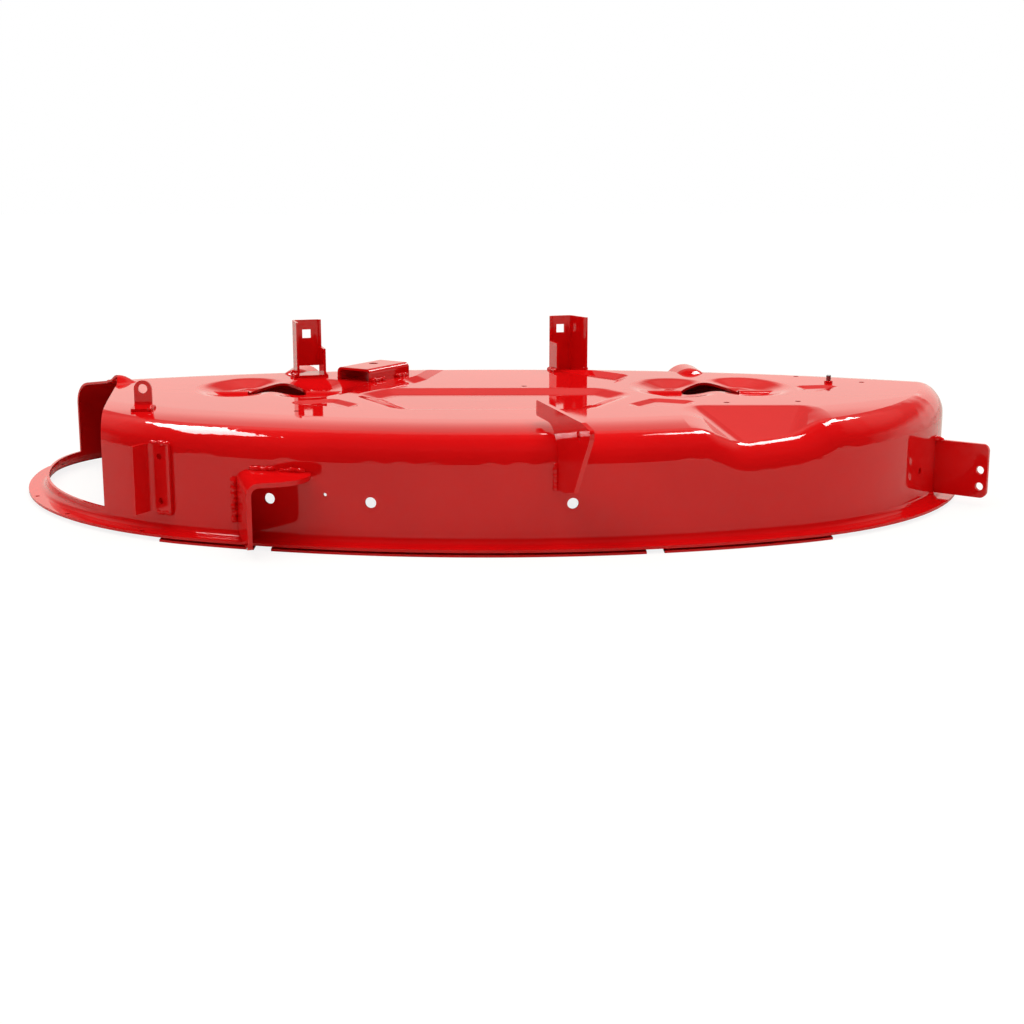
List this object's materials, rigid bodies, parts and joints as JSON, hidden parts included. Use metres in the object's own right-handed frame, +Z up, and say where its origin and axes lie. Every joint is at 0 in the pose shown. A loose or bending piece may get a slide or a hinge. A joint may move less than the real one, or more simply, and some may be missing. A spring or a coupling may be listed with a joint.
{
  "type": "lawn mower deck",
  "caption": "Bare red mower deck shell: a drawn steel pan with ribbed spindle wells, a rim flange, an open discharge side and welded hanger brackets.",
  "frame": {"origin": "midway between the two spindle axes, level with the underside of the rim flange", "axes": "+X along the line of the spindles, away from the discharge opening; -Y to the front skirt; +Z up"},
  "size_m": [1.164, 0.7364, 0.1968],
  "materials": {
    "red_enamel": "glossy red powder coat on steel",
    "zinc": "dull zinc plate"
  },
  "bodies": {
    "root": {"deck_shell": "red_enamel", "chute_hinge_ear": "red_enamel", "chute_side_bracket": "red_enamel", "gauge_wheel_bracket": "red_enamel", "front_hanger_plate": "red_enamel", "side_bracket": "red_enamel", "rear_hanger_left": "red_enamel", "rear_hanger_right": "red_enamel", "box_bracket": "red_enamel", "rim_strip_left": "red_enamel", "rim_strip_middle": "red_enamel", "rim_strip_right": "red_enamel", "stud_collar": "red_enamel", "cable_stud": "zinc"}
  },
  "joints": []
}
